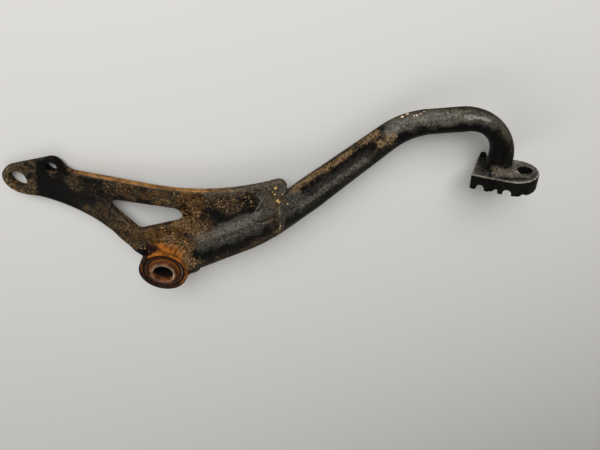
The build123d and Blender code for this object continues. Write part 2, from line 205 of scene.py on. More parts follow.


# Strokes of wear, painted highlight and painted shade. Each has the layer that it adds to, its half
# width in millimetres, its strength, and the pixels of the photograph that it runs through. Grey
# strokes add worn paint and painted highlight;
# strokes that take the wear off leave black paint, which along an underside is painted shade.
STROKES = [
    # Rod eye and lug
    ("film", 6.0, 0.75, [(14, 170), (24, 168), (34, 172)]),
    ("rust", 2.4, 0.95, [(12, 177), (16, 180.5), (22, 181)]),
    ("tan", 2.0, 0.40, [(12, 178), (16, 181), (22, 181.5)]),
    ("film", 6.5, 0.80, [(10, 178), (12, 188), (24, 191), (33, 186)]),
    ("tan", 3.0, 0.50, [(9, 172), (8, 182), (14, 189), (24, 192)]),
    ("tan", 2.5, 0.35, [(30, 182), (33, 188)]),
    ("clean_and_shade", 1.8, 0.7, [(25, 164), (31, 167)]),
    ("clean_and_shade", 1.5, 0.7, [(27, 178), (31, 173)]),
    ("clean_and_shade", 3.4, 1.0, [(41, 166), (42, 180), (42, 192)]),
    ("clean_and_shade", 2.6, 0.9, [(45, 164), (52, 159), (60, 168), (66, 174)]),
    ("clean_and_shade", 2.6, 0.7, [(48, 182), (56, 190), (66, 197)]),
    ("film", 2.6, 0.5, [(49, 172), (53, 175)]),
    ("tan", 1.8, 0.35, [(50, 174), (55, 172)]),
    ("clean_and_shade", 5.0, 0.75, [(58, 186), (72, 195), (90, 200)]),
    ("film", 8.0, 0.26, [(64, 180), (84, 192), (96, 204)]),
    ("film", 3.6, 0.72, [(70, 181), (76, 188)]),
    ("speck", 10.0, 0.32, [(52, 176), (84, 194), (120, 214)]),
    # Plate round the window
    ("film", 9.0, 0.22, [(84, 182), (104, 196), (120, 214), (136, 236)]),
    ("speck", 8.0, 0.60, [(112, 208), (124, 224), (136, 238)]),
    ("film", 1.9, 1.0, [(113, 203), (126, 216), (140, 231)]),
    ("tan", 1.7, 0.45, [(116, 206), (128, 218), (139, 230)]),
    ("film", 7.0, 0.62, [(110, 186), (140, 196), (170, 200)]),
    ("speck", 9.0, 0.68, [(112, 188), (150, 197), (196, 200)]),
    ("speck", 14.0, 0.72, [(140, 236), (170, 236), (196, 226)]),
    ("rust", 6.0, 0.48, [(124, 192), (150, 199), (175, 202)]),
    ("clean_and_shade", 2.4, 0.8, [(140, 201), (152, 205)]),
    ("rust", 7.0, 0.50, [(128, 214), (140, 232), (152, 236)]),
    ("film", 6.0, 0.75, [(126, 216), (140, 236), (160, 238)]),
    ("film", 4.5, 0.75, [(112, 225), (124, 238), (135, 247)]),
    ("rust", 3.5, 0.45, [(116, 230), (134, 246)]),
    ("rust", 6.5, 0.85, [(188, 196), (190, 210), (184, 226)]),
    ("rust", 6.0, 0.80, [(150, 230), (172, 228), (188, 226)]),
    ("rust", 8.0, 0.90, [(160, 240), (176, 242), (186, 250)]),
    ("film", 9.0, 0.90, [(150, 236), (172, 240), (190, 246)]),
    ("tan", 6.0, 0.55, [(168, 240), (182, 246), (186, 256)]),
    ("rust", 5.0, 0.65, [(194, 190), (200, 204)]),
    ("clean_and_shade", 3.4, 1.0, [(139, 252), (146, 254), (154, 249)]),
    ("speck", 2.6, 0.9, [(132, 243), (142, 247), (152, 246)]),
    ("rust", 4.0, 1.0, [(152, 255), (158, 252), (168, 251), (178, 256), (186, 264)]),
    ("rust", 3.0, 0.65, [(186, 266), (188, 274), (185, 281)]),
    ("film", 7.0, 0.95, [(174, 214), (186, 222), (196, 230)]),
    ("tan", 6.0, 0.50, [(174, 216), (186, 224), (196, 232)]),
    # Black, speckled part of the plate
    ("clean_and_shade", 6.0, 0.9, [(222, 226), (238, 220), (252, 214)]),
    ("clean_and_shade", 4.0, 0.8, [(212, 212), (222, 218)]),
    ("film", 5.0, 0.55, [(204, 196), (236, 192), (262, 188)]),
    # Grey strokes along this top edge and by the seam: worn paint and painted highlight.
    ("rubbed_and_highlit", 3.0, 0.45, [(206, 194), (236, 190), (262, 186)]),
    ("speck", 16.0, 0.92, [(204, 202), (226, 206), (240, 200)]),
    ("speck", 9.0, 0.70, [(250, 198), (272, 192)]),
    ("rust", 7.0, 0.42, [(206, 206), (228, 208)]),
    ("rubbed_and_highlit", 5.0, 0.55, [(262, 184), (278, 183), (284, 194)]),
    ("rubbed_and_highlit", 6.0, 0.50, [(266, 200), (280, 206), (296, 202)]),
    ("film", 8.0, 0.40, [(262, 190), (280, 196)]),
    # Rib
    # Grey strokes along the rib's crown: worn paint and painted highlight. The stroke below them
    # that takes the wear off is painted shade on the rib's underside.
    ("rubbed_and_highlit", 4.2, 0.85, [(198, 239), (214, 234), (236, 226), (256, 216)]),
    ("rubbed_and_highlit", 5.6, 0.50, [(200, 244), (230, 233), (262, 221)]),
    ("rubbed_and_highlit", 3.0, 0.55, [(262, 214), (280, 206)]),
    ("film", 4.0, 0.6, [(190, 252), (198, 262)]),
    ("film", 5.0, 0.5, [(196, 236), (226, 226)]),
    ("speck", 5.0, 0.7, [(196, 236), (226, 226)]),
    ("tan", 4.0, 0.45, [(190, 246), (194, 258), (190, 268)]),
    ("clean_and_shade", 4.4, 1.0, [(196, 253), (216, 249), (240, 240), (262, 229)]),
    ("speck", 4.0, 0.85, [(190, 262), (202, 258), (226, 252)]),
    ("film", 2.6, 0.7, [(206, 265), (236, 253), (262, 241)]),
    ("film", 3.0, 0.5, [(262, 241), (276, 233)]),
    ("speck", 4.0, 0.6, [(206, 264), (236, 253), (276, 232)]),
    # Bar
    ("film", 4.6, 0.80, [(290, 190), (312, 176), (334, 162), (352, 150)]),
    ("tan", 3.2, 0.56, [(294, 188), (318, 172), (348, 154)]),
    ("speck", 5.0, 0.62, [(292, 192), (320, 174), (350, 154)]),
    ("film", 4.4, 0.75, [(356, 148), (366, 138), (374, 134)]),
    ("tan", 3.4, 0.50, [(362, 142), (376, 133)]),
    ("tan", 3.4, 0.54, [(380, 144), (392, 136)]),
    ("film", 4.6, 0.60, [(376, 146), (394, 138)]),
    # Strokes that take the wear off the lower side of the bar and the hook are painted shade; the
    # grey strokes along its middle and on the hook are worn paint and painted highlight, and the
    # one at the bar's root is painted light over the shade by the seam.
    ("clean_and_shade", 3.0, 0.9, [(338, 170), (360, 152), (372, 147)]),
    ("clean_and_shade", 2.2, 0.6, [(304, 196), (322, 184), (338, 172)]),
    ("rubbed_and_highlit", 2.0, 0.72, [(300, 206), (318, 194), (340, 178), (366, 160)]),
    ("rubbed_and_highlit", 4.6, 0.22, [(300, 202), (330, 184), (366, 160)]),
    ("rubbed_and_highlit", 6.0, 0.45, [(284, 208), (296, 201)]),
    ("clean_and_shade", 3.2, 0.9, [(300, 218), (330, 198), (370, 170), (392, 152)]),
    ("rubbed_and_highlit", 4.2, 0.88, [(388, 131), (408, 120.5), (430, 117), (456, 115)]),
    ("rubbed_and_highlit", 4.6, 0.78, [(396, 127), (412, 121), (440, 117.5), (466, 116)]),
    ("rubbed_and_highlit", 1.6, 1.0, [(466, 117), (476, 117.5), (486, 119), (490, 121)]),
    ("rubbed_and_highlit", 4.0, 0.50, [(452, 116), (476, 116), (494, 122)]),
    ("film", 6.0, 0.45, [(400, 118), (440, 112), (480, 112), (502, 122)]),
    ("rubbed_and_highlit", 3.4, 0.34, [(498, 120), (509, 134)]),
    ("film", 3.0, 0.55, [(500, 122), (510, 136), (513, 150)]),
    ("clean_and_shade", 5.0, 1.0, [(404, 137), (420, 132), (446, 128), (484, 129)]),
    ("clean_and_shade", 5.6, 1.0, [(488, 134), (498, 146), (500, 160)]),
    ("clean_and_shade", 2.2, 1.0, [(512, 154), (511, 162)]),
    ("speck", 6.0, 0.50, [(396, 118), (440, 111), (486, 113)]),
    ("speck", 3.0, 0.25, [(508, 130), (512, 150)]),
    # Toe pad
    ("clean_and_shade", 3.2, 0.65, [(482, 158), (484, 166), (490, 170)]),
    ("clean_and_shade", 2.2, 0.9, [(481, 153), (485, 153)]),
    # Grey line along the pad's rim and grey patch on its lip: worn paint and painted highlight.
    ("rubbed_and_highlit", 1.5, 1.0, [(474, 175), (494, 180), (512, 184), (526, 184)]),
    ("rubbed_and_highlit", 3.0, 0.80, [(496, 171), (506, 172), (514, 174)]),
    ("rubbed_and_highlit", 3.4, 0.85, [(516, 159), (530, 165), (538, 172)]),
    ("clean_and_shade", 1.8, 0.85, [(490, 175), (508, 179), (524, 179)]),
    ("film", 5.0, 0.50, [(492, 170), (512, 176), (532, 184)]),
    ("tan", 2.6, 0.60, [(512, 159), (516, 162)]),
    ("tan", 3.6, 0.42, [(494, 171), (508, 173), (516, 172)]),
    ("speck", 8.0, 0.3, [(480, 170), (500, 174), (526, 180)]),
]

# Places on the plate's outline that stand a little further out: the two pixel values, then the
# reach and the shift in millimetres
OUTLINE_SHIFTS = [
    (26, 191, 9.0, (0.1, -1.2)),
    (124, 239, 10.0, (-0.6, -0.9)),
    (112, 226, 8.0, (-0.3, -0.5)),
]

# The layer of grey places holds worn paint and painted highlight.
WEAR_LAYERS = ("rust", "film", "tan", "speck", "rubbed_and_highlit")


# Meshes

def new_piece(name, mesh, body, *replaced):
    """Object that rides on a body and stands for the named solids."""
    piece = bpy.data.objects.new(name, mesh)
    bpy.context.scene.collection.objects.link(piece)
    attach(piece, body)
    if replaced:
        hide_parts(*replaced)
    return piece


def even_mesh(solid, name, cell):
    """Closed copy of a mesh with even cells, fine enough to carry pits and wear."""
    raw = solid.copy()
    raw.materials.clear()
    sketch = bmesh.new()
    sketch.from_mesh(raw)
    bmesh.ops.remove_doubles(sketch, verts=sketch.verts, dist=0.001 * MM)
    sketch.to_mesh(raw)
    sketch.free()
    carrier = bpy.data.objects.new(name + "_raw", raw)
    bpy.context.scene.collection.objects.link(carrier)
    remesh = carrier.modifiers.new("even", "REMESH")
    remesh.mode = "VOXEL"
    remesh.voxel_size = cell
    remesh.use_smooth_shade = True
    shown = carrier.evaluated_get(bpy.context.evaluated_depsgraph_get())
    mesh = bpy.data.meshes.new_from_object(shown)
    bpy.data.objects.remove(carrier)
    mesh.name = name
    mesh.materials.clear()
    return mesh


def join_rings(sketch, rings):
    """Closed form through rings of corners, with a face over both ends."""
    count = len(rings[0])
    for first, second in zip(rings[:-1], rings[1:]):
        for corner in range(count):
            follower = (corner + 1) % count
            sketch.faces.new((first[corner], first[follower], second[follower], second[corner]))
    sketch.faces.new(rings[0][::-1])
    sketch.faces.new(rings[-1])
    bmesh.ops.recalc_face_normals(sketch, faces=sketch.faces)


class Skin:
    """Vertices, edges and normals of a mesh as arrays."""

    def __init__(self, mesh):
        self.mesh = mesh
        self.count = len(mesh.vertices)
        self.places = self.read(mesh.vertices, "co", 3)
        self.edges = self.read(mesh.edges, "vertices", 2, np.int64)
        self.degree = np.bincount(self.edges.ravel(), minlength=self.count)
        self.normals = self.read(mesh.vertex_normals, "vector", 3)

    @staticmethod
    def read(source, field, width, kind=float):
        """One row of numbers for each element of the source."""
        values = np.empty(len(source) * width, dtype=kind)
        source.foreach_get(field, values)
        return values.reshape(-1, width)

    def neighbour_mean(self, values):
        first, second = self.edges.T
        total = np.bincount(first, values[second], self.count)
        total += np.bincount(second, values[first], self.count)
        return total / self.degree

    def mean_places(self):
        return np.stack([self.neighbour_mean(self.places[:, axis]) for axis in range(3)], 1)

    def soften(self, rounds):
        """Smooths without shrinking: each inward pass is followed by one outward."""
        for _ in range(rounds):
            for share in (0.55, -0.57):
                self.places += share * (self.mean_places() - self.places)
        self.write()

    def edge_wear(self, rounds=3):
        """How far each place stands out as an edge, about 0 on a flat and 1 on a sharp edge."""
        proud = ((self.places - self.mean_places()) * self.normals).sum(1)
        spans = self.places[self.edges[:, 0]] - self.places[self.edges[:, 1]]
        proud = proud / np.linalg.norm(spans, axis=1).mean()
        for _ in range(rounds):
            proud = self.neighbour_mean(proud)
        return np.clip(proud * 9, 0, 1)

    def noise(self, feature, octaves=3, seed=0.0):
        """Even noise about 0 with features of the given size."""
        shift = Vector((seed, seed * 1.7, seed * 2.3))
        points = self.places / feature
        return np.array([
            noise.fractal(Vector(point) + shift, 0.9, 2.0, octaves, noise_basis="PERLIN_ORIGINAL")
            for point in points
        ])

    def push(self, heights):
        self.places += self.normals * heights[:, None]
        self.write()

    def write(self):
        self.mesh.vertices.foreach_set("co", self.places.ravel())
        self.mesh.update()
        self.normals = self.read(self.mesh.vertex_normals, "vector", 3)

    def store(self, layer, values):
        attribute = self.mesh.attributes.new(layer, "FLOAT", "POINT")
        attribute.data.foreach_set("value", values.astype(np.float32))


def distance_to_line(places, line):
    """Distance of each place from a line of points."""
    nearest = np.full(len(places), np.inf)
    line = [np.array(point) for point in line]
    if len(line) == 1:
        return np.linalg.norm(places - line[0], axis=1)
    for start, end in zip(line[:-1], line[1:]):
        along = end - start
        share = np.clip(((places - start) @ along) / (along @ along), 0, 1)
        off_line = places - start - share[:, None] * along
        nearest = np.minimum(nearest, np.linalg.norm(off_line, axis=1))
    return nearest


def eased(share):
    """Share from 0 to 1 with a soft start and end."""
    return share * share * (3 - 2 * share)


def paint_wear(skin, base, seed, top=None):
    """Stores the wear layers, with the painted highlight and painted shade that they carry: the
    base amounts all round, and the strokes on the side they show.
    Where a top direction is given, the wear gathers on the faces that face it."""
    wander = skin.noise(5 * MM, 3, seed)
    blotch = skin.noise(16 * MM, 2, seed + 7)
    to_camera = np.array(CAMERA_PLACE) - skin.places
    to_camera /= np.linalg.norm(to_camera, axis=1)[:, None]
    worn_side = np.clip(0.4 + 2.5 * (skin.normals * to_camera).sum(1), 0, 1)
    exposed = np.ones(skin.count)
    if top:
        exposed = np.clip((skin.normals @ np.array(top) - 0.4) * 3, 0, 1)
        worn_side = worn_side * exposed
    weights = []
    clean_and_shade = np.zeros(skin.count)
    for layer, half_width, strength, pixels in STROKES:
        line = [place for place, _ in seen_line(pixels, 4.0)]
        if not line:
            continue
        reach = half_width * MM * (1 + 0.45 * wander)
        weight = np.clip(1.35 - distance_to_line(skin.places, line) / reach, 0, 1)
        weight = eased(weight) * worn_side
        # A stroke that takes the wear off leaves black paint; along the undersides of the rib and
        # the bar it is painted shade.
        if layer == "clean_and_shade":
            clean_and_shade = np.maximum(clean_and_shade, strength * weight)
        elif weight.max() > 0:
            weights.append((layer, strength, weight))
    layers = {}
    for layer in WEAR_LAYERS:
        amount = base.get(layer, 0.0)
        even = np.clip(amount + 0.7 * amount ** 0.5 * blotch, 0, 1) * (amount > 0)
        layers[layer] = even * (1 - clean_and_shade) * (0.04 + 0.96 * exposed)
    for layer, strength, weight in weights:
        kept = 1.0 if layer == "rubbed_and_highlit" else 1 - 0.9 * clean_and_shade
        layers[layer] = layers[layer] + np.clip(strength - layers[layer], 0, 1) * weight * kept
    for layer in WEAR_LAYERS:
        skin.store(layer, np.clip(layers[layer], 0, 1))
    skin.store("edge", skin.edge_wear() * (1 - 0.85 * clean_and_shade) * (0.12 + 0.88 * exposed))
    return layers


# Node groups and materials

class Sketch:
    """Short hand for adding and linking nodes."""

    def __init__(self, tree):
        self.tree = tree
        self.column = 0

    def add(self, kind, inputs=None, **settings):
        node = self.tree.nodes.new(kind)
        node.location = (self.column * 190, -160 * (self.column % 4))
        self.column += 1
        for name, value in settings.items():
            setattr(node, name, value)
        for name, value in (inputs or {}).items():
            self.feed(node.inputs[name], value)
        return node

    def feed(self, socket, value):
        if isinstance(value, bpy.types.NodeSocket):
            self.tree.links.new(value, socket)
        elif isinstance(value, (tuple, list)) and len(value) == 3 and socket.type == "RGBA":
            socket.default_value = (*value, 1.0)
        else:
            socket.default_value = value

    def maths(self, operation, first, second=0.0, clamp=False):
        node = self.add("ShaderNodeMath", operation=operation, use_clamp=clamp)
        self.feed(node.inputs[0], first)
        self.feed(node.inputs[1], second)
        return node.outputs[0]

    def plus(self, first, second, clamp=False):
        return self.maths("ADD", first, second, clamp)

    def minus(self, first, second, clamp=False):
        return self.maths("SUBTRACT", first, second, clamp)

    def times(self, first, second, clamp=False):
        return self.maths("MULTIPLY", first, second, clamp)

    def larger(self, first, second):
        return self.maths("MAXIMUM", first, second)

    def mix(self, share, first, second):
        node = self.add("ShaderNodeMix", data_type="RGBA")
        self.feed(node.inputs["Factor"], share)
        self.feed(node.inputs[6], first)
        self.feed(node.inputs[7], second)
        return node.outputs[2]

    def mix_value(self, share, first, second):
        node = self.add("ShaderNodeMix", data_type="FLOAT")
        self.feed(node.inputs[0], share)
        self.feed(node.inputs[2], first)
        self.feed(node.inputs[3], second)
        return node.outputs[0]

    def layer(self, name):
        node = self.add("ShaderNodeAttribute", attribute_type="GEOMETRY", attribute_name=name)
        return node.outputs["Fac"]

    def ramp(self, value, low, high, start=0.0, end=1.0, course="SMOOTHSTEP"):
        """Leads from a start value, at and below low, to an end value, at and above high."""
        node = self.add("ShaderNodeMapRange", {
            "Value": value, "From Min": low, "From Max": high, "To Min": start, "To Max": end},
            interpolation_type=course)
        return node.outputs[0]

    def place(self):
        """Place on the object in metres."""
        return self.add("ShaderNodeTexCoord").outputs["Object"]

    def shifted_place(self, seed):
        """Place on the object in metres, shifted by a seed so that two noises differ."""
        shift = self.add("ShaderNodeVectorMath", {0: self.place()}, operation="ADD")
        join = self.add("ShaderNodeCombineXYZ", {"X": seed, "Y": seed, "Z": seed})
        self.feed(shift.inputs[1], join.outputs[0])
        return shift.outputs[0]

    def grain(self, seed, scale, detail, roughness=0.5):
        """Noise that lies fixed on the object."""
        node = self.add("ShaderNodeTexNoise", {
            "Vector": self.shifted_place(seed), "Scale": scale, "Detail": detail,
            "Roughness": roughness})
        return node.outputs[0]

    def group(self, name, **inputs):
        """Shared node group, fed by the lower-case names of its inputs."""
        node = self.add("ShaderNodeGroup")
        node.node_tree = shared[name]
        for socket, value in inputs.items():
            self.feed(node.inputs[socket.title()], value)
        return node

    def ragged(self, amount, scale, spread, softness, seed):
        return self.group("ragged", amount=amount, scale=scale, spread=spread, softness=softness,
                          seed=seed).outputs[0]

    def flecks(self, density, scale, seed):
        return self.group("fleck", density=density, scale=scale, seed=seed).outputs[0]

    def finish(self, shader, colour, roughness, height, strength, depth):
        """Gives a shader its colour, its roughness and a fine relief of a depth in millimetres."""
        self.feed(shader.inputs["Base Color"], colour)
        self.feed(shader.inputs["Roughness"], roughness)
        bump = self.add("ShaderNodeBump", {
            "Strength": strength, "Distance": depth * MM, "Height": height})
        self.feed(shader.inputs["Normal"], bump.outputs[0])


def start_group(name, inputs, outputs):
    """Empty node group; gives the group, its sketch, its given sockets and those to be fed."""
    group = bpy.data.node_groups.new(name, "ShaderNodeTree")
    for label, kind, default in inputs:
        socket = group.interface.new_socket(label, in_out="INPUT", socket_type=kind)
        if default is not None:
            socket.default_value = default
    for label, kind in outputs:
        group.interface.new_socket(label, in_out="OUTPUT", socket_type=kind)
    sketch = Sketch(group)
    source = sketch.add("NodeGroupInput")
    result = sketch.add("NodeGroupOutput")
    return group, sketch, source.outputs, result.inputs


FLOAT = "NodeSocketFloat"
COLOUR = "NodeSocketColor"


def build_ragged_mask():
    """Mask with ragged borders round an amount that varies slowly."""
    group, sketch, given, out = start_group(
        "Ragged Mask",
        [("Amount", FLOAT, 0.5), ("Scale", FLOAT, 400.0), ("Spread", FLOAT, 1.6),
         ("Softness", FLOAT, 0.1), ("Seed", FLOAT, 0.0)],
        [("Mask", FLOAT)])
    grain = sketch.grain(given["Seed"], given["Scale"], 7.0, 0.68)
    spread = sketch.times(sketch.minus(grain, 0.5), given["Spread"])
    total = sketch.plus(given["Amount"], spread)
    low = sketch.minus(0.5, given["Softness"])
    high = sketch.plus(0.5, given["Softness"])
    present = sketch.ramp(given["Amount"], 0.02, 0.2)
    sketch.feed(out["Mask"], sketch.times(sketch.ramp(total, low, high), present))
    return group


def build_fleck_mask():
    """Scattered flecks of uneven size and shape, which gather in clusters; none at density 0."""
    group, sketch, given, out = start_group(
        "Fleck Mask",
        [("Density", FLOAT, 0.4), ("Scale", FLOAT, 900.0), ("Seed", FLOAT, 0.0)],
        [("Mask", FLOAT)])
    chips = sketch.grain(given["Seed"], given["Scale"], 3.0, 0.62)
    clusters = sketch.grain(given["Seed"], sketch.times(given["Scale"], 0.2), 2.0)
    value = sketch.plus(chips, sketch.times(sketch.minus(clusters, 0.5), 0.35))
    low = sketch.minus(0.80, sketch.times(given["Density"], 0.26))
    sketch.feed(out["Mask"], sketch.ramp(value, low, sketch.plus(low, 0.05), course="LINEAR"))
    return group


def build_rust_colour():
    """Rust in three browns, mottled at two scales, with the height of its grain."""
    group, sketch, given, out = start_group(
        "Rust Colour",
        [("Dark", COLOUR, None), ("Middle", COLOUR, None), ("Bright", COLOUR, None),
         ("Scale", FLOAT, 260.0), ("Fresh", FLOAT, 0.5)],
        [("Color", COLOUR), ("Height", FLOAT)])
    blotch = sketch.grain(3.1, given["Scale"], 5.0, 0.6)
    grain = sketch.grain(5.3, 1500.0, 4.0, 0.7)
    body = sketch.mix(sketch.ramp(blotch, 0.38, 0.58), given["Dark"], given["Middle"])
    fresh_low = sketch.minus(0.78, sketch.times(given["Fresh"], 0.3))
    fresh = sketch.ramp(sketch.plus(sketch.times(blotch, 0.6), sketch.times(grain, 0.4)),
                        fresh_low, sketch.plus(fresh_low, 0.12), course="LINEAR")
    body = sketch.mix(fresh, body, given["Bright"])
    shade = sketch.ramp(grain, 0.3, 0.7, 0.62, 1.3, course="LINEAR")
    grey = sketch.add("ShaderNodeCombineColor", {"Red": shade, "Green": shade, "Blue": shade})
    shaded = sketch.add("ShaderNodeMix", {
        "Factor": 1.0, 6: body, 7: grey.outputs[0]}, data_type="RGBA", blend_type="MULTIPLY")
    sketch.feed(out["Color"], shaded.outputs[2])
    sketch.feed(out["Height"], grain)
    return group


shared = {}


def build_groups():
    shared["ragged"] = build_ragged_mask()
    shared["fleck"] = build_fleck_mask()
    shared["rust"] = build_rust_colour()


def colours():
    return bpy.context.scene.pedal_paint


def scaled(colour, share):
    return tuple(channel * share for channel in colour)


def start_material(name, shine=0.5):
    """New material with one shader; gives the material, its sketch and the shader."""
    material = bpy.data.materials.new(name)
    material.use_nodes = True
    tree = material.node_tree
    tree.nodes.clear()
    sketch = Sketch(tree)
    shader = sketch.add("ShaderNodeBsdfPrincipled", {"Specular IOR Level": shine})
    output = sketch.add("ShaderNodeOutputMaterial")
    tree.links.new(shader.outputs[0], output.inputs["Surface"])
    return material, sketch, shader


def painted_steel(name, gloss=0.42, fresh=0.45, cut_edge=False, edge_worn=0.3,
                  edge_colour=(0.105, 0.085, 0.062), dirt=None, shine=0.045, polish_glint=0.5):
    """Black paint with a brown film, rust, tan dirt, specks, grey places of worn paint and painted
    highlight that turn to pale steel as a painted glint where strongest, and worn edges.
    """
    tint = colours()
    dirt = dirt or tint.tan[:]
    material, sketch, shader = start_material(name, shine)
    rust = sketch.group("rust", dark=tint.rust_dark[:], middle=tint.rust[:],
                        bright=tint.rust_bright[:], fresh=fresh)
    film_mask = sketch.ragged(sketch.layer("film"), 420.0, 2.2, 0.3, 1.3)
    rust_mask = sketch.ragged(sketch.layer("rust"), 560.0, 3.0, 0.2, 2.9)
    # Grey places: worn paint and painted highlight, broken up by grain.
    rub_and_highlight_grain = sketch.ramp(sketch.grain(4.7, 620.0, 5.0, 0.68), 0.34, 0.66, 0.4, 1.35,
                            course="LINEAR")
    rub_and_highlight_mask = sketch.times(sketch.layer("rubbed_and_highlit"), rub_and_highlight_grain, clamp=True)
    tan_mask = sketch.ragged(sketch.layer("tan"), 700.0, 3.2, 0.2, 6.1)
    specks = sketch.flecks(sketch.layer("speck"), 950.0, 7.7)
    edge_mask = sketch.ragged(sketch.layer("edge"), 700.0, 1.5, 0.2, 8.3)
    pits = sketch.flecks(0.95, 820.0, 3.3)
    dust = sketch.grain(9.1, 1000.0, 4.0, 0.66)
    light = sketch.ramp(dust, 0.38, 0.66, course="LINEAR")
    base = sketch.mix(sketch.times(light, 0.06), tint.paint[:], tint.film[:])
    film = sketch.mix(light, scaled(tint.film, 0.25), scaled(tint.film, 2.0))
    base = sketch.mix(sketch.times(film_mask, 0.92), base, film)
    # Grey for the worn paint and the painted highlight, turning to pale steel as a painted glint
    # where the grey layer is strongest.
    grey = sketch.mix(light, scaled(tint.paint_grey_and_highlight, 0.6), scaled(tint.paint_grey_and_highlight, 1.4))
    polished_glint = sketch.times(sketch.ramp(sketch.layer("rubbed_and_highlit"), 0.82, 1.0), polish_glint)
    grey = sketch.mix(polished_glint, grey, POLISHED_STEEL_GLINT)
    base = sketch.mix(rub_and_highlight_mask, base, grey)
    base = sketch.mix(rust_mask, base, rust.outputs["Color"])
    base = sketch.mix(sketch.times(tan_mask, 0.6), base, dirt)
    pits_left = sketch.times(pits, sketch.mix_value(rub_and_highlight_mask, 0.8, 0.4))
    base = sketch.mix(pits_left, base, tint.paint[:])
    base = sketch.mix(sketch.times(edge_mask, edge_worn), base, edge_colour)
    base = sketch.mix(sketch.times(specks, 0.75), base, dirt)
    dull = sketch.larger(rust_mask, sketch.times(film_mask, 0.75))
    dull = sketch.larger(dull, sketch.larger(tan_mask, specks))
    if cut_edge:
        base, dull = add_cut_edge(sketch, base, dull)
    crust = sketch.times(rust.outputs["Height"], rust_mask)
    lumps = sketch.plus(sketch.times(tan_mask, 0.5), specks)
    height = sketch.plus(sketch.times(crust, 0.9), sketch.times(lumps, 0.5))
    height = sketch.plus(height, sketch.times(dust, 0.3))
    height = sketch.minus(height, sketch.times(pits, 0.5))
    sketch.finish(shader, base, sketch.mix_value(dull, gloss, 0.88), height, 0.6, 0.25)
    return material


def add_cut_edge(sketch, base, dull):
    """Tan-brown rust along the cut rim of the plate, which fades towards the seam."""
    rust = sketch.group("rust", dark=(0.110, 0.055, 0.020), middle=(0.290, 0.145, 0.052),
                        bright=(0.480, 0.260, 0.105), scale=190.0, fresh=0.6)
    along = sketch.add("ShaderNodeSeparateXYZ", {"Vector": sketch.place()}).outputs["X"]
    to_seam = sketch.ramp(along, 14 * MM, 58 * MM, 1.0, 0.3)
    to_eye = sketch.ramp(along, -47 * MM, -30 * MM, 0.2, 1.0)
    amount = sketch.times(sketch.times(to_seam, to_eye), sketch.layer("rim"))
    mask = sketch.ragged(amount, 420.0, 1.1, 0.25, 1.1)
    return sketch.mix(mask, base, rust.outputs["Color"]), sketch.larger(dull, mask)


def rusty_steel(name, fresh):
    """Steel with no paint left: near black under grease and dirt, orange where rust is fresh, with
    a near black ring of painted shade where the seal sits and a near black rim on the side away
    from the arm.
    """
    material, sketch, shader = start_material(name, 0.06)
    bright = sketch.group("rust", dark=(0.100, 0.034, 0.007), middle=(0.300, 0.096, 0.014),
                          bright=(0.520, 0.210, 0.040), scale=240.0, fresh=fresh)
    old = sketch.group("rust", dark=(0.002, 0.0012, 0.001), middle=(0.026, 0.010, 0.004),
                       bright=(0.110, 0.040, 0.012), scale=312.0, fresh=0.45)
    share = sketch.ragged(sketch.layer("rust"), 380.0, 1.6, 0.3, 3.7)
    tan_mask = sketch.ragged(sketch.layer("tan"), 700.0, 3.2, 0.2, 6.1)
    base = sketch.mix(share, old.outputs["Color"], bright.outputs["Color"])
    base = sketch.mix(sketch.times(tan_mask, 0.55), base, colours().tan[:])
    # Painted shade: near black ring where the seal sits in the boss.
    seat_shade = band(sketch, pivot_radius(sketch), 12.7, 13.3, 0.2)
    base = sketch.mix(sketch.times(seat_shade, 0.92), base, (0.003, 0.0015, 0.001))
    # Near black on the rim's side away from the arm, as far as stored on the piece.
    base = sketch.mix(sketch.times(sketch.layer("far_rim_darkening"), 0.95), base, (0.003, 0.002, 0.0015))
    sketch.finish(shader, base, sketch.mix_value(share, 0.55, 0.9), bright.outputs["Height"],
                  0.7, 0.25)
    return material


def pivot_radius(sketch):
    """Distance from the pivot's axis in millimetres."""
    parts = sketch.add("ShaderNodeSeparateXYZ", {"Vector": sketch.place()}).outputs
    across = sketch.times(parts["X"], parts["X"])
    up = sketch.times(parts["Y"], parts["Y"])
    return sketch.times(sketch.maths("SQRT", sketch.plus(across, up)), 1000.0)


def pivot_side(sketch, low, high):
    """0 to 1 round the pivot: 1 on the side up the arm and towards the bar, 0 on the far side."""
    flat = sketch.add("ShaderNodeVectorMath", {0: sketch.place(), 1: (1.0, 1.0, 0.0)},
                      operation="MULTIPLY")
    outward = sketch.add("ShaderNodeVectorMath", {0: flat.outputs[0]}, operation="NORMALIZE")
    lean = sketch.add("ShaderNodeVectorMath", {0: outward.outputs[0], 1: (*ARM_SIDE, 0.0)},
                      operation="DOT_PRODUCT")
    return sketch.ramp(lean.outputs["Value"], low, high)


def band(sketch, value, low, high, soft):
    """1 between two values, falling to 0 over the soft length outside them."""
    return sketch.minus(sketch.ramp(value, low - soft, low), sketch.ramp(value, high, high + soft),
                        clamp=True)


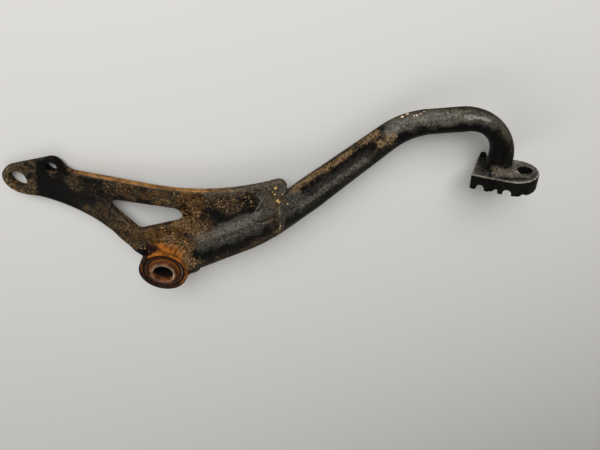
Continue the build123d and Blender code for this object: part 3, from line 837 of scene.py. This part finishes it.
def collar_steel(name):
    """Collar: bright lines round its worn ends, partly worn steel and partly painted highlight,
    orange rust between them, and painted shade deep in the bore.
    """
    material, sketch, shader = start_material(name, 0.15)
    rust = sketch.group("rust", dark=(0.055, 0.018, 0.006), middle=(0.190, 0.064, 0.018),
                        bright=(0.400, 0.160, 0.046), scale=300.0, fresh=0.6)
    height = sketch.add("ShaderNodeSeparateXYZ", {"Vector": sketch.place()}).outputs["Z"]
    from_middle = sketch.maths("ABSOLUTE", sketch.minus(height, COLLAR_MIDDLE))
    # Painted shade: near black along the middle of the collar's length, deep in the bore, fading to
    # rust towards its ends.
    base = sketch.mix(sketch.ramp(from_middle, 7.2 * MM, 11.8 * MM), (0.003, 0.001, 0.0005),
                      rust.outputs["Color"])
    radius = pivot_radius(sketch)
    at_end = sketch.maths("GREATER_THAN", from_middle, 11.9 * MM)
    bar_side = pivot_side(sketch, -0.35, 0.25)
    # Lines of worn steel round the ends, also painted highlight: the outer line shows most on the
    # far side, the inner line on the side towards the bar.
    outer_glint_line = sketch.times(band(sketch, radius, 7.95, 8.4, 0.2),
                              sketch.mix_value(bar_side, 0.62, 0.12))
    inner_glint_line = sketch.times(band(sketch, radius, 6.3, 7.1, 0.2),
                              sketch.mix_value(bar_side, 0.10, 0.95))
    lines = sketch.larger(outer_glint_line, inner_glint_line)
    patchy = sketch.ragged(0.72, 420.0, 1.8, 0.35, 2.2)
    share = sketch.times(sketch.times(lines, at_end), patchy)
    sketch.feed(shader.inputs["Metallic"], sketch.times(share, 0.35))
    sketch.finish(shader, sketch.mix(share, base, colours().bare_steel_and_glint[:]),
                  sketch.mix_value(share, 0.85, 0.45), rust.outputs["Height"], 0.35, 0.2)
    return material


def seal_rubber(name):
    """Dust seal: shell with a worn pale top that is also painted highlight towards the bar,
    red-brown hollow with near black rings of painted shade at its edges, and an orange stain by the
    collar.
    """
    material, sketch, shader = start_material(name, 0.06)
    rust = sketch.group("rust", dark=(0.010, 0.003, 0.0015), middle=(0.062, 0.019, 0.005),
                        bright=(0.240, 0.078, 0.016), scale=330.0, fresh=0.5)
    radius = pivot_radius(sketch)
    worn = sketch.ragged(0.6, 380.0, 1.8, 0.4, 5.2)
    bar_side = pivot_side(sketch, -0.1, 0.75)
    shell = sketch.times(band(sketch, radius, 11.35, 12.0, 0.3), worn)
    # Painted shade: near black rings at the seal's edges.
    groove_shade = sketch.larger(band(sketch, radius, 12.45, 13.3, 0.25),
                          sketch.times(band(sketch, radius, 10.2, 10.9, 0.4), 0.7))
    stain = sketch.times(band(sketch, radius, 8.3, 9.8, 0.5), 0.35)
    base = sketch.mix(stain, rust.outputs["Color"], (0.230, 0.085, 0.022))
    base = sketch.mix(sketch.times(groove_shade, 0.9), base, (0.004, 0.002, 0.0015))
    # The pale worn top shows most on the side towards the bar: wear and painted highlight.
    base = sketch.mix(sketch.times(shell, sketch.mix_value(bar_side, 0.22, 0.85)), base,
                      (0.260, 0.185, 0.135))
    sketch.finish(shader, base, sketch.mix_value(shell, 0.85, 0.6), rust.outputs["Height"],
                  0.4, 0.2)
    return material


def greasy_bronze(name):
    """Bush between the seals: dull bronze under old grease."""
    material, sketch, shader = start_material(name)
    grease = sketch.ragged(0.5, 300.0, 2.0, 0.3, 2.4)
    colour = sketch.mix(grease, (0.180, 0.105, 0.040), (0.016, 0.009, 0.005))
    sketch.feed(shader.inputs["Metallic"], sketch.mix_value(grease, 0.9, 0.0))
    sketch.finish(shader, colour, sketch.mix_value(grease, 0.45, 0.7), grease, 0.3, 0.1)
    return material


def plain_dirt(name, colour, shine=0.2, roughness=0.9):
    """Fine grained finish of one colour, for crumbs, chips and scratches."""
    material, sketch, shader = start_material(name, shine)
    grain = sketch.grain(1.9, 1800.0, 3.0)
    share = sketch.times(sketch.minus(grain, 0.3, clamp=True), 2.5, clamp=True)
    mottled = sketch.mix(share, scaled(colour, 0.45), colour)
    sketch.finish(shader, mottled, roughness, grain, 0.4, 0.1)
    return material


def dress(node, material):
    """Gives a solid that keeps its own shape its finish."""
    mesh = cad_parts[node].data
    mesh.materials.clear()
    mesh.materials.append(material)


# Pieces

def weather(skin, base, seed, pits, rounds, top=None):
    """Softens a mesh, paints its wear and pits it where it rusts."""
    skin.soften(rounds)
    layers = paint_wear(skin, base, seed, top)
    rough = skin.noise(1.3 * MM, 3, seed + 3)
    sags = skin.noise(9 * MM, 2, seed + 5)
    depth = bpy.context.scene.pedal_surface.pit_depth * pits
    skin.push(depth * rough * (0.2 + 0.8 * np.clip(layers["rust"], 0, 1)) + 0.05 * MM * sags)


def worn_piece(node, name, body, cell, base, seed, pits=1.0, rounds=2, top=None):
    """A solid's worn double: an even mesh, softened, painted with wear and pitted."""
    mesh = even_mesh(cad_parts[node].data, name, cell)
    skin = Skin(mesh)
    weather(skin, base, seed, pits, rounds, top)
    piece = new_piece(name, mesh, body, node)
    return piece, skin


class PEDAL_OT_arm(bpy.types.Operator):
    """Arm plate with its rod eye, lug, window and rib"""
    bl_idname = "pedal.arm"
    bl_label = "Arm Plate"

    def execute(self, context):
        cell = context.scene.pedal_surface.arm_cell
        base = {"rust": 0.17, "film": 0.20, "tan": 0.03, "speck": 0.12, "rubbed_and_highlit": 0.03}
        piece, skin = worn_piece("arm_plate", "worn_arm", PEDAL, cell, base, 1.0)
        self.mark_cut_edge(skin)
        self.fill_out(skin)
        piece.data.materials.append(painted_steel("arm_paint", cut_edge=True, shine=0.03))
        return {"FINISHED"}

    def mark_cut_edge(self, skin):
        """Stores where the plate's cut upper rim lies, from the lug to the corner by the seam."""
        across, up, depth = skin.places.T
        half_plate = 2.6 * MM
        sideways = np.clip((0.72 - np.abs(skin.normals[:, 2])) * 4, 0, 1)
        rim = sideways * (np.abs(depth) < half_plate)
        below_straight_rim = 73.4 * MM - 0.2475 * (across + 49.5 * MM) - 5 * MM
        rim = rim * (up > np.where(across < -5 * MM, below_straight_rim, 54 * MM))
        rim = rim * np.clip(0.2 + 2 * skin.normals[:, 1], 0, 1)
        for x, y, radius in (SPRING_HOLE, ROD_EYE):
            rim = rim * (np.hypot(across - x, up - y) > radius)
        skin.store("rim", rim)

    def fill_out(self, skin):
        """Rounds the rib's underside and the plate's lower outline out to their full depth."""
        down = np.array((0.413, -0.911, 0.0))
        across, up, _ = skin.places.T
        below = np.clip((0.44 * across + 12 * MM - up) / (6 * MM), 0, 1)
        past_boss = np.clip((across - 11 * MM) / (9 * MM), 0, 1)
        before_seam = np.clip((70 * MM - across) / (12 * MM), 0, 1)
        facing = np.clip(skin.normals @ down, 0, 1)
        fill = 1.25 * MM * below * past_boss * before_seam * facing
        skin.places += fill[:, None] * down
        for u, v, reach, shift in OUTLINE_SHIFTS:
            place, _ = seen_at(u, v - 2)
            flat = np.hypot(across - place.x, up - place.y)
            near = np.clip(1 - flat / (reach * MM), 0, 1)
            skin.places[:, :2] += eased(near)[:, None] * np.array(shift) * MM
        skin.write()


class PEDAL_OT_bar(bpy.types.Operator):
    """Lever bar from the seam to the toe pad"""
    bl_idname = "pedal.bar"
    bl_label = "Lever Bar"

    def execute(self, context):
        cell = context.scene.pedal_surface.arm_cell
        base = {"rust": 0.05, "film": 0.12, "tan": 0.02, "speck": 0.08, "rubbed_and_highlit": 0.04}
        piece, _ = worn_piece("lever_bar", "worn_bar", PEDAL, cell, base, 2.0,
                              pits=0.7)
        piece.data.materials.append(painted_steel("bar_paint", gloss=0.36, shine=0.025))
        return {"FINISHED"}


class PEDAL_OT_seam(bpy.types.Operator):
    """Weld over the seam between the arm and the bar"""
    bl_idname = "pedal.seam"
    bl_label = "Seam Weld"

    def execute(self, context):
        cell = context.scene.pedal_surface.fine_cell
        # The grey base lightens the weld: worn paint, and painted light over the shade by the
        # plate's end.
        base = {"rust": 0.3, "film": 0.35, "tan": 0.25, "speck": 0.2, "rubbed_and_highlit": 0.45}
        piece, skin = worn_piece("seam_weld", "worn_seam", PEDAL, cell * 0.5, base,
                                 3.0, pits=1.2, rounds=1)
        underside = np.clip(0.5 - 1.6 * skin.normals[:, 1], 0, 1)
        skin.push(-0.75 * MM * underside)
        piece.data.materials.append(painted_steel("seam_paint"))
        return {"FINISHED"}


class PEDAL_OT_boss(bpy.types.Operator):
    """Pivot boss and the welds that hold it in the arm"""
    bl_idname = "pedal.boss"
    bl_label = "Pivot Boss"

    def execute(self, context):
        settings = context.scene.pedal_surface
        base = {"rust": 0.3, "film": 0.5}
        boss, skin = worn_piece("pivot_boss", "worn_boss", PEDAL, settings.fine_cell,
                                base, 4.0, pits=0.8, rounds=1)
        self.swell_far_rim(skin)
        boss.data.materials.append(rusty_steel("boss_rust", fresh=0.6))
        weld_finish = rusty_steel("weld_rust", fresh=0.7)
        for side in ("front", "back"):
            node = "boss_weld_" + side
            weld, skin = worn_piece(node, "worn_" + node, PEDAL, settings.fine_cell * 0.7,
                                    base, 5.0, pits=1.4, rounds=1)
            turn = np.arctan2(skin.places[:, 1], skin.places[:, 0])
            skin.push(settings.weld_ripple * 0.5 * np.sin(turn * RIPPLES_ROUND))
            weld.data.materials.append(weld_finish)
        self.add_corner_fill(settings.fine_cell)
        return {"FINISHED"}

    def swell_far_rim(self, skin):
        """Swells the rim a little on the side away from the arm, and stores there how far it is
        darkened to near black.
        """
        across, up, _ = skin.places.T
        radius = np.hypot(across, up)
        lean = (ARM_SIDE[0] * across + ARM_SIDE[1] * up) / radius
        swell = 1.0 * MM * np.clip(-1.6 * lean, 0, 1) * self.past_rim(radius) / radius
        skin.places[:, :2] *= (1 + swell)[:, None]
        skin.write()
        swollen = np.hypot(skin.places[:, 0], skin.places[:, 1])
        skin.store("far_rim_darkening", self.past_rim(swollen) * np.clip(0.35 - 2 * lean, 0, 1))

    def past_rim(self, radius):
        """0 inside the boss's rim, 1 from a millimetre outside its start."""
        return np.clip((radius - BOSS_RIM) / MM, 0, 1)

    def add_corner_fill(self, cell):
        """Weld that fills the corner under the rib where it meets the boss."""
        hollow = [(10.6, -9.2), (12.1, -9.7), (13.7, -8.0), (16.0, -6.5), (19.0, -5.3),
                  (22.4, -4.1), (22.8, -2.4), (17.0, -3.0), (11.6, -6.0)]
        middle_x, middle_y = 15.2, -5.6
        sketch = bmesh.new()
        rings = []
        for depth, share in ((-4.8, 0.3), (-4.0, 0.7), (-2.4, 0.95), (0.0, 1.0), (2.4, 0.95),
                             (4.0, 0.7), (4.8, 0.3)):
            ring = [(middle_x + (x - middle_x) * share, middle_y + (y - middle_y) * share, depth)
                    for x, y in hollow]
            rings.append([sketch.verts.new(Vector(point) * MM) for point in ring])
        join_rings(sketch, rings)
        rough = bpy.data.meshes.new("corner_fill_raw")
        sketch.to_mesh(rough)
        sketch.free()
        mesh = even_mesh(rough, "corner_fill", cell)
        skin = Skin(mesh)
        weather(skin, {"rust": 0.25, "film": 0.2, "speck": 0.5}, 9.0, 2.5, 3)
        mesh.materials.append(painted_steel("corner_paint"))
        new_piece("corner_fill", mesh, PEDAL)


class PEDAL_OT_bearing(bpy.types.Operator):
    """Dust seals and bush in the boss"""
    bl_idname = "pedal.bearing"
    bl_label = "Seals And Bush"

    def execute(self, context):
        rubber = seal_rubber("seal_rubber")
        for node in ("dust_seal_front", "dust_seal_back"):
            dress(node, rubber)
        dress("bearing_bush", greasy_bronze("bush_bronze"))
        return {"FINISHED"}


class PEDAL_OT_collar(bpy.types.Operator):
    """Collar that the pedal turns on"""
    bl_idname = "pedal.collar"
    bl_label = "Pivot Collar"

    def execute(self, context):
        cell = context.scene.pedal_surface.fine_cell * 0.8
        piece, _ = worn_piece("pivot_collar", "worn_collar", COLLAR, cell,
                              {"rust": 0.5}, 8.0, pits=0.35, rounds=1)
        piece.data.materials.append(collar_steel("collar_steel"))
        return {"FINISHED"}


class PEDAL_OT_toe_pad(bpy.types.Operator):
    """Toe pad with its teeth, nub and weld"""
    bl_idname = "pedal.toe_pad"
    bl_label = "Toe Pad"

    def execute(self, context):
        cell = context.scene.pedal_surface.fine_cell
        base = {"rust": 0.04, "film": 0.22, "rubbed_and_highlit": 0.62}
        dirt = (0.225, 0.185, 0.155)
        pad, skin = worn_piece("toe_pad", "worn_pad", PEDAL, cell, base, 6.0,
                               pits=0.7, rounds=1, top=PAD_TOP)
        self.close_notch(skin)
        self.shade_pad_hole(skin)
        # The pad's pale edges are worn paint and also painted highlight along its rim.
        pad.data.materials.append(painted_steel(
            "pad_paint", gloss=0.5, edge_worn=0.9, edge_colour=(0.290, 0.260, 0.220), dirt=dirt,
            shine=0.02, polish_glint=0.15))
        weld, _ = worn_piece("toe_pad_weld", "worn_pad_weld", PEDAL, cell * 0.8,
                             {"film": 0.30, "tan": 0.05, "rubbed_and_highlit": 0.55}, 7.0, pits=2.2, rounds=1)
        weld.data.materials.append(painted_steel("pad_weld_paint", gloss=0.5, dirt=dirt))
        return {"FINISHED"}

    def close_notch(self, skin):
        """Makes the second notch from the heel shallower than its neighbours."""
        notch_from_heel, half_notch, fill = 12.4, 2.6, 3.0
        along = skin.places @ np.array(PAD_ALONG)
        depth = skin.places @ np.array(PAD_DOWN)
        off_notch = np.abs(along - along.min() - notch_from_heel * MM)
        near = np.clip(1.45 - off_notch / (half_notch * MM), 0, 1)
        from_rim = (depth.max() - depth) / MM
        at_roof = np.clip(from_rim - 0.6, 0, 1) * np.clip((7.5 - from_rim) / 3.0, 0, 1)
        shift = np.minimum(fill * near * at_roof, np.maximum(from_rim - 0.8, 0))
        skin.places += (shift * MM)[:, None] * np.array(PAD_DOWN)
        skin.write()

    def shade_pad_hole(self, skin):
        """Takes the wear off the wall and the rim of the pad's hole, leaving them black as painted
        shade in the hole.
        """
        rim_radius, fade = 3.8, 1.5
        outward = skin.places - np.array(PAD_HOLE)
        outward -= (outward @ np.array(PAD_TOP))[:, None] * np.array(PAD_TOP)
        away = np.clip((np.linalg.norm(outward, axis=1) / MM - rim_radius) / fade, 0, 1)
        for layer in WEAR_LAYERS + ("edge",):
            attribute = skin.mesh.attributes[layer]
            values = skin.read(attribute.data, "value", 1, np.float32)[:, 0]
            keep = away if layer == "edge" else np.clip(away * 3, 0, 1)
            attribute.data.foreach_set("value", (values * keep).astype(np.float32))


# Marks on the steel. A scratch has its half width in millimetres and the pixels that it runs
# through; a crumb has the two values of its pixel and its radius in millimetres.
PALE_SCRATCHES = [
    (0.42, [(263.5, 197.5), (259.5, 205), (254.5, 212)]),
    (0.26, [(256.5, 195), (261, 200)]),
    (0.20, [(256, 223.8), (262, 223.8), (268, 222.6), (274, 219)]),
    (0.22, [(266, 205), (258, 214), (250, 219)]),
    (0.26, [(281, 211), (285, 207.5), (288, 206)]),
]
# Dark strips: the first runs along the crease where the rib meets the plate and is painted shade
# there; the second is a dark scratch by the seam.
DARK_SCRATCHES_AND_CREASE_SHADE = [
    (0.55, [(250.5, 217), (256, 221.5), (263, 221.5), (271, 217.5)]),
    (0.40, [(280, 209), (284, 205.5)]),
]
YELLOW_CRUMBS = [
    (275.5, 188.2, 0.95), (274.8, 194.2, 0.78), (277.6, 200.8, 1.2), (279.2, 202.2, 0.9),
    (287.5, 204, 0.7), (272.5, 192, 0.45), (282.5, 194.5, 0.45),
]
ORANGE_SPECKS = [
    (185.3, 241.6, 0.6), (186.4, 243.4, 0.42), (161.6, 227.8, 0.5), (165, 230.4, 0.55),
    (141.3, 248.4, 0.5), (145, 248.4, 0.5), (149, 251, 0.35), (134, 245.5, 0.42),
    (194.4, 259, 0.42), (194.2, 266.5, 0.55), (187.3, 268, 0.5), (190.5, 272.5, 0.4),
    (191, 263, 0.35), (204.5, 235.8, 0.3), (180, 226, 0.4), (173, 233, 0.45),
]
SEAM_CRUMBS = [
    (279.2, 207, 0.35), (279.8, 211, 0.4), (279.6, 213.4, 0.6), (280.4, 216, 0.5),
    (280.8, 218, 0.35), (280.2, 223.4, 0.4), (280.6, 225.6, 0.6), (280.2, 227.6, 0.65),
    (279.6, 229.2, 0.45), (277, 231.5, 0.4), (274, 232.5, 0.3), (284, 214.5, 0.3),
    (276, 219, 0.25), (283, 226, 0.3), (396.5, 136.3, 0.45), (383, 142.5, 0.35),
    (367, 144, 0.35),
]
PALE_CHIPS = [
    (402.5, 117, 1.0), (407.5, 114.3, 0.95), (414, 116, 0.5), (417, 115.5, 0.8),
    (420.5, 113.9, 0.65), (424, 111.7, 0.5), (515.5, 172, 0.55), (517.2, 170.6, 0.4),
    (518.3, 172.8, 0.5),
]


def crumb(sketch, place, normal, radius, seed):
    """Flat lump of dried dirt that lies on the surface."""
    turn = normal.to_track_quat("Z", "Y").to_matrix().to_4x4()
    size = Matrix.Diagonal((radius, radius * 0.8, radius * 0.38, 1))
    made = bmesh.ops.create_icosphere(sketch, subdivisions=2, radius=1.0,
                                      matrix=Matrix.Translation(place) @ turn @ size)
    for vertex in made["verts"]:
        lump = noise.noise(vertex.co / radius * 0.9 + Vector((seed, seed, seed)))
        vertex.co += (vertex.co - place) * 0.45 * lump


def ribbon(sketch, line, half_width, rise):
    """Thin strip that follows the surface and tapers to both ends."""
    rows = []
    last = len(line) - 1
    for number, (place, normal) in enumerate(line):
        ahead = line[min(number + 1, last)][0] - line[max(number - 1, 0)][0]
        side = normal.cross(ahead).normalized()
        width = half_width * (0.25 + 0.75 * math.sin(math.pi * (number + 0.4) / (last + 0.8)))
        low = place - normal * rise
        rows.append([sketch.verts.new(point) for point in (
            low - side * width, place + normal * rise, low + side * width, low - normal * rise)])
    join_rings(sketch, rows)


def finish_sketch(sketch, name, material):
    """Turns what lies on the steel into one piece of the pedal."""
    mesh = bpy.data.meshes.new(name)
    sketch.to_mesh(mesh)
    sketch.free()
    mesh.shade_smooth()
    mesh.materials.append(material)
    new_piece(name, mesh, PEDAL)


def crumbs_piece(name, spots, colour):
    """Crumbs of one colour on the steel, each sunk a little into it."""
    sketch = bmesh.new()
    for number, (u, v, radius) in enumerate(spots):
        hit = seen_at(u, v)
        if hit:
            crumb(sketch, hit[0] + hit[1] * 0.12 * radius * MM, hit[1], radius * MM, number * 1.37)
    finish_sketch(sketch, name, plain_dirt(name + "_dirt", colour))


def scratches_piece(name, lines, colour, shine):
    """Thin strips on the steel along the scratches' lines."""
    sketch = bmesh.new()
    for half_width, pixels in lines:
        line = seen_line(pixels, 1.0)
        if len(line) > 2:
            ribbon(sketch, line, half_width * MM, 0.1 * MM)
    finish_sketch(sketch, name, plain_dirt(name + "_finish", colour, shine, 0.6))


class PEDAL_OT_marks(bpy.types.Operator):
    """Scratches, chips and crumbs of dried dirt on the arm, the bar and the pad, and a dark strip
    of painted shade in a crease
    """
    bl_idname = "pedal.marks"
    bl_label = "Scratches And Crumbs"

    def execute(self, context):
        scratches_piece("pale_scratches", PALE_SCRATCHES, (0.27, 0.25, 0.20), 0.2)
        # Dark strips, one of them painted shade in a crease.
        scratches_piece("dark_scratch_and_crease_shade", DARK_SCRATCHES_AND_CREASE_SHADE, (0.002, 0.002, 0.002), 0.05)
        crumbs_piece("yellow_crumbs", YELLOW_CRUMBS, (0.72, 0.47, 0.15))
        crumbs_piece("orange_specks", ORANGE_SPECKS, (0.62, 0.30, 0.10))
        crumbs_piece("seam_crumbs", SEAM_CRUMBS, (0.48, 0.34, 0.16))
        crumbs_piece("pale_chips", PALE_CHIPS, (0.66, 0.49, 0.35))
        return {"FINISHED"}


# Stage

def area_lamp(name, place, size, power):
    """Lamp that looks at the pedal."""
    lamp = bpy.data.lights.new(name, "AREA")
    lamp.shape = "RECTANGLE"
    lamp.size, lamp.size_y = size
    lamp.energy = power
    stand = bpy.data.objects.new(name, lamp)
    stand.location = place
    stand.rotation_euler = (LIT_PLACE - place).to_track_quat("-Z", "Y").to_euler()
    bpy.context.scene.collection.objects.link(stand)


def resting_floor():
    """Height of the floor under the origin, with the pedal lying on it."""
    lowest = math.inf
    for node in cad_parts.values():
        for vertex in node.data.vertices:
            lowest = min(lowest, vertex.co.dot(FLOOR_UP))
    return lowest / FLOOR_UP.z


def build_floor(colour):
    """Large pale floor that the pedal rests on."""
    reach = 6.0
    height = resting_floor()
    corners = []
    for across, along in ((-reach, -reach), (reach, -reach), (reach, reach), (-reach, reach)):
        drop = (across * FLOOR_UP.x + along * FLOOR_UP.y) / FLOOR_UP.z
        corners.append((across, along, height - drop))
    mesh = bpy.data.meshes.new("floor")
    mesh.from_pydata(corners, [], [(0, 1, 2, 3)])
    floor = bpy.data.objects.new("floor", mesh)
    bpy.context.scene.collection.objects.link(floor)
    material, _, shader = start_material("pale_floor", 0.1)
    shader.inputs["Base Color"].default_value = (*colour, 1)
    shader.inputs["Roughness"].default_value = 0.95
    mesh.materials.append(material)


def build_world(level, background=0.80):
    """Dim sky that the camera and reflections see as a pale background."""
    world = bpy.data.worlds.new("pale_sky")
    world.use_nodes = True
    tree = world.node_tree
    tree.nodes.clear()
    sketch = Sketch(tree)
    path = sketch.add("ShaderNodeLightPath")
    seen = path.outputs["Is Camera Ray"]
    for kind in ("Is Transmission Ray", "Is Glossy Ray"):
        seen = sketch.plus(seen, path.outputs[kind], clamp=True)
    strength = sketch.mix_value(seen, level, background)
    sky = sketch.add("ShaderNodeBackground", {"Color": (1.0, 0.99, 0.97), "Strength": strength})
    out = sketch.add("ShaderNodeOutputWorld")
    tree.links.new(sky.outputs[0], out.inputs["Surface"])
    bpy.context.scene.world = world


def build_camera():
    lens = bpy.data.cameras.new("photo_view")
    lens.sensor_width = SENSOR_WIDTH
    lens.lens = SENSOR_WIDTH * FOCAL_PIXELS / PHOTO_WIDTH
    lens.clip_start = 0.01
    camera = bpy.data.objects.new("photo_view", lens)
    axes = Matrix((CAMERA_RIGHT, CAMERA_UP, CAMERA_BACK)).transposed().to_4x4()
    camera.matrix_world = Matrix.Translation(CAMERA_PLACE) @ axes
    bpy.context.scene.collection.objects.link(camera)
    bpy.context.scene.camera = camera


class PEDAL_OT_stage(bpy.types.Operator):
    """Pale floor, soft lamps and the photograph's view"""
    bl_idname = "pedal.stage"
    bl_label = "Stage"

    def execute(self, context):
        settings = context.scene.pedal_stage
        build_floor(settings.floor_colour)
        build_world(settings.world_level)
        area_lamp("key_lamp", KEY_PLACE, (0.9, 0.7), settings.key_power)
        area_lamp("fill_lamp", FILL_PLACE, (0.8, 0.8), settings.fill_power)
        build_camera()
        context.scene.view_settings.view_transform = "Standard"
        return {"FINISHED"}


# Add-on

class PEDAL_PT_panel(bpy.types.Panel):
    """Sidebar panel that lists the pedal's parts"""
    bl_idname = "PEDAL_PT_panel"
    bl_label = "Rear Brake Pedal"
    bl_space_type = "VIEW_3D"
    bl_region_type = "UI"
    bl_category = "Pedal"

    def draw(self, context):
        for operator in PART_OPERATORS:
            self.layout.operator(operator.bl_idname)
        for group, kind in SETTINGS.items():
            box = self.layout.box()
            for name in kind.__annotations__:
                box.prop(getattr(context.scene, group), name)


PART_OPERATORS = (
    PEDAL_OT_arm, PEDAL_OT_bar, PEDAL_OT_seam, PEDAL_OT_boss, PEDAL_OT_bearing, PEDAL_OT_collar,
    PEDAL_OT_toe_pad, PEDAL_OT_marks, PEDAL_OT_stage,
)
SETTINGS = {
    "pedal_paint": PedalPaintSettings,
    "pedal_surface": PedalSurfaceSettings,
    "pedal_stage": PedalStageSettings,
}
CLASSES = (*SETTINGS.values(), *PART_OPERATORS, PEDAL_PT_panel)


def register():
    for kind in CLASSES:
        bpy.utils.register_class(kind)
    for name, kind in SETTINGS.items():
        setattr(bpy.types.Scene, name, PointerProperty(type=kind))


def unregister():
    for name in SETTINGS:
        delattr(bpy.types.Scene, name)
    for kind in reversed(CLASSES):
        bpy.utils.unregister_class(kind)


def main():
    register()
    build_groups()
    bpy.ops.pedal.arm()
    bpy.ops.pedal.bar()
    bpy.ops.pedal.seam()
    bpy.ops.pedal.boss()
    bpy.ops.pedal.bearing()
    bpy.ops.pedal.collar()
    bpy.ops.pedal.toe_pad()
    bpy.ops.pedal.marks()
    bpy.ops.pedal.stage()
    bpy.context.view_layer.update()


if __name__ == "__main__":
    main()
